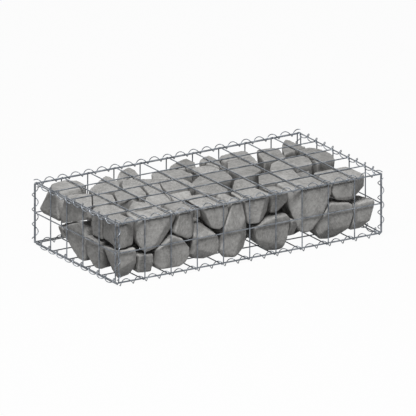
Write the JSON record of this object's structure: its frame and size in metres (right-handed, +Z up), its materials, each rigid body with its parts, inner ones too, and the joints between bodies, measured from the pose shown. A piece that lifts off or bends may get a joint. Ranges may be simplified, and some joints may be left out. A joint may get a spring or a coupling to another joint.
{
  "type": "gabion basket filled with stones",
  "caption": "Low rectangular welded-wire gabion basket filled with broken stone, its panels laced together by spiral binders along every edge.",
  "frame": {"origin": "on the ground, below the middle of the basket", "axes": "+X along the long side towards the right end, +Y from the front to the back, +Z up"},
  "size_m": [1.03, 0.5296, 0.2289],
  "materials": {
    "mesh_wire": "satin",
    "spiral_wire": "satin",
    "stone": "matte"
  },
  "bodies": {
    "root": {"back_base_spiral": "spiral_wire", "back_left_corner_spiral": "spiral_wire", "back_lid_spiral": "spiral_wire", "back_panel": "mesh_wire", "back_right_corner_spiral": "spiral_wire", "base_panel": "mesh_wire", "front_base_spiral": "spiral_wire", "front_left_corner_spiral": "spiral_wire", "front_lid_spiral": "spiral_wire", "front_panel": "mesh_wire", "front_right_corner_spiral": "spiral_wire", "left_base_spiral": "spiral_wire", "left_end_panel": "mesh_wire", "left_lid_spiral": "spiral_wire", "lid_panel": "mesh_wire", "right_base_spiral": "spiral_wire", "right_end_panel": "mesh_wire", "right_lid_spiral": "spiral_wire", "stones_base_back_left": "stone", "stones_base_back_middle": "stone", "stones_base_back_right": "stone", "stones_base_centre_left": "stone", "stones_base_centre_middle": "stone", "stones_base_centre_right": "stone", "stones_base_front_left": "stone", "stones_base_front_middle": "stone", "stones_base_front_right": "stone", "stones_front_lower_left": "stone", "stones_front_lower_middle": "stone", "stones_front_lower_right": "stone", "stones_front_upper_left": "stone", "stones_front_upper_middle": "stone", "stones_front_upper_right": "stone", "stones_left_end_lower": "stone", "stones_lid_back_left": "stone", "stones_lid_back_middle": "stone", "stones_lid_back_right": "stone", "stones_lid_centre_left": "stone", "stones_lid_centre_middle": "stone", "stones_lid_centre_right": "stone", "stones_lid_inner_left": "stone", "stones_lid_inner_middle": "stone", "stones_lid_inner_right": "stone"}
  },
  "joints": []
}
